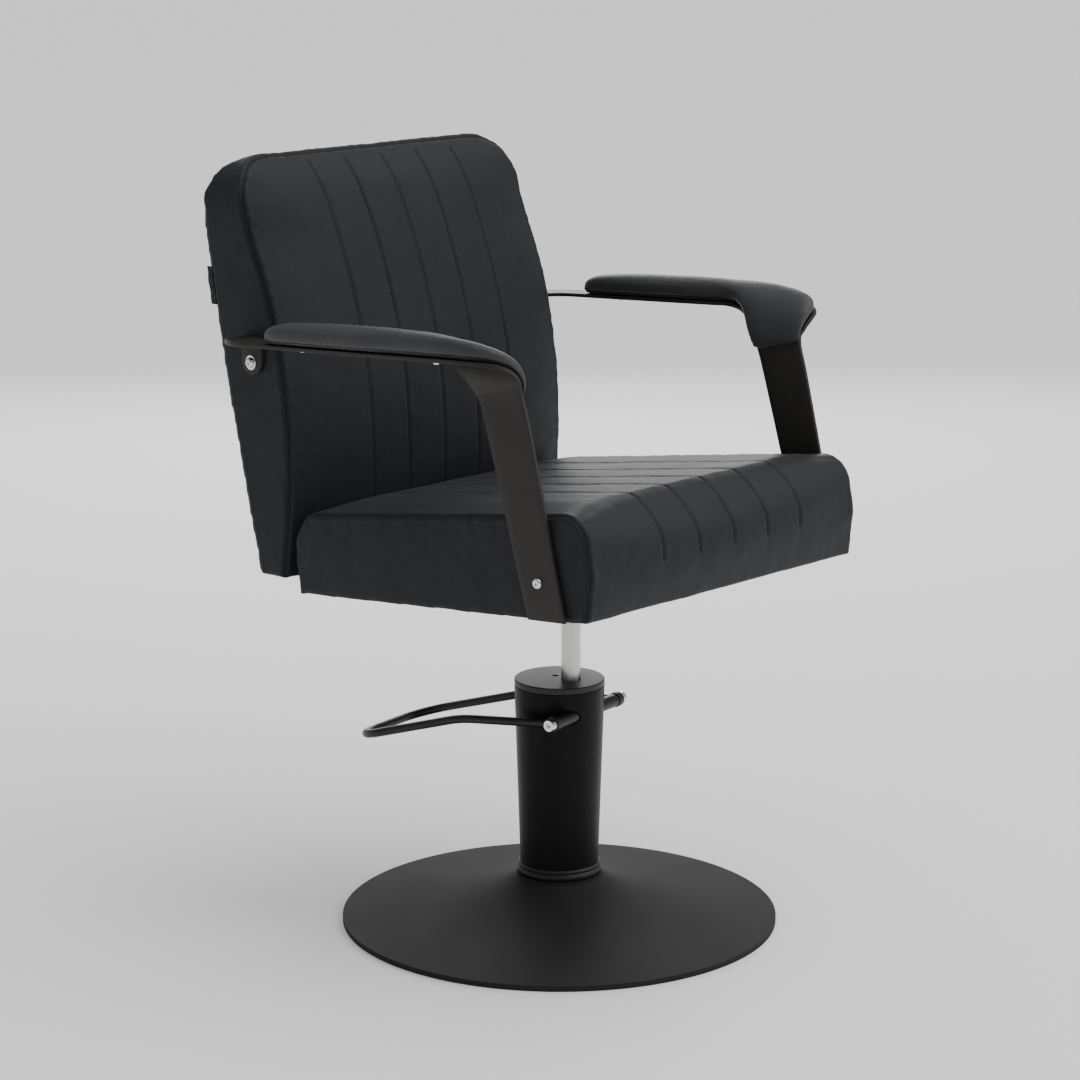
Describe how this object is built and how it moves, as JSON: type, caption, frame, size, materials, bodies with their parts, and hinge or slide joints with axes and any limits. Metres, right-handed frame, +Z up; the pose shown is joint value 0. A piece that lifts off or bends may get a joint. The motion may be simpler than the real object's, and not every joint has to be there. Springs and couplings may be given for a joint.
{
  "type": "styling chair",
  "caption": "Hydraulic salon styling chair: channelled seat and high back, padded bent-strap arms, trumpet base, pump column and hairpin foot lever.",
  "frame": {"origin": "centre of the round base on the floor", "axes": "+Z up, front of the seat faces -Y, +X is the sitter's left"},
  "size_m": [0.649, 0.6862, 1.01],
  "materials": {
    "raw_steel": "satin",
    "base_paint": "matte",
    "column_paint": "satin",
    "ring_rubber": "matte",
    "cap_plastic": "matte",
    "dark_screw": "satin",
    "cast_iron": "matte",
    "rod_steel": "satin",
    "brass": "satin",
    "seal_rubber": "matte",
    "aluminium": "satin",
    "lever_paint": "satin",
    "chrome": "polished",
    "plywood": "matte",
    "foam": "matte",
    "upholstery": "satin",
    "dust_cloth": "matte",
    "tag_cloth": "matte",
    "arm_paint": "matte",
    "pad_cover": "satin"
  },
  "bodies": {
    "base": {"base_plate": "raw_steel", "base_cover": "base_paint", "column_ring": "ring_rubber", "column_cover": "column_paint", "column_cap": "cap_plastic", "cap_screw": "dark_screw", "pump_flange": "cast_iron", "pump_bolts": "raw_steel", "pump_tank": "raw_steel", "pump_cylinder": "rod_steel", "pump_head": "cast_iron", "rod_bush": "brass", "rod_seal": "seal_rubber", "shaft_bushes": "brass", "plunger_barrel": "rod_steel", "plunger_spring": "rod_steel"},
    "plunger": {"pump_plunger": "rod_steel"},
    "lift": {"piston_head": "aluminium", "piston_seals": "seal_rubber", "thrust_washer": "brass"},
    "lever": {"cross_shaft": "rod_steel", "shaft_sleeves": "lever_paint", "rocker_cam": "cast_iron", "lever_loop": "lever_paint", "lever_washers": "chrome", "lever_screws": "chrome"},
    "seat": {"piston_rod": "rod_steel", "seat_hub": "column_paint", "mount_plate": "column_paint", "plate_bolts": "raw_steel", "tee_nuts": "raw_steel", "seat_board": "plywood", "seat_foam": "foam", "seat_cover": "upholstery", "seat_blocks": "plywood", "dust_cover": "dust_cloth", "back_panel": "upholstery", "back_board": "plywood", "back_foam": "foam", "back_cover": "upholstery", "back_side_blocks": "plywood", "back_brackets": "column_paint", "bracket_screws": "raw_steel", "back_label": "tag_cloth", "arm_strap_left": "arm_paint", "arm_strap_right": "arm_paint", "arm_pad_left": "pad_cover", "arm_pad_right": "pad_cover", "arm_pad_screws": "chrome", "leg_spacers": "column_paint", "leg_screws": "chrome", "back_washers": "chrome", "back_bolts": "chrome"}
  },
  "joints": [
    {"name": "lift", "type": "slide", "parent": "base", "child": "lift", "axis": [0, 0, 1], "range_m": [-0.085, 0.065]},
    {"name": "swivel", "type": "hinge", "parent": "lift", "child": "seat", "pos_m": [0.0025, -0.01783, 0.149], "axis": [0, 0, 1], "continuous": true},
    {"name": "lever", "type": "hinge", "parent": "base", "child": "lever", "pos_m": [0.00585, -0.04159, 0.29], "axis": [-0.9903, -0.1392, 0], "range_deg": [0, 22], "stiffness_Nm_per_rad": 3, "springref_deg": -34.38},
    {"name": "plunger", "type": "slide", "parent": "base", "child": "plunger", "axis": [0, 0, -1], "range_m": [0, 0.0046], "deforming": ["plunger_spring"]}
  ],
  "couplings": [
    {"joint": "plunger", "follows": "lever", "m_per_rad": 0.0116}
  ]
}
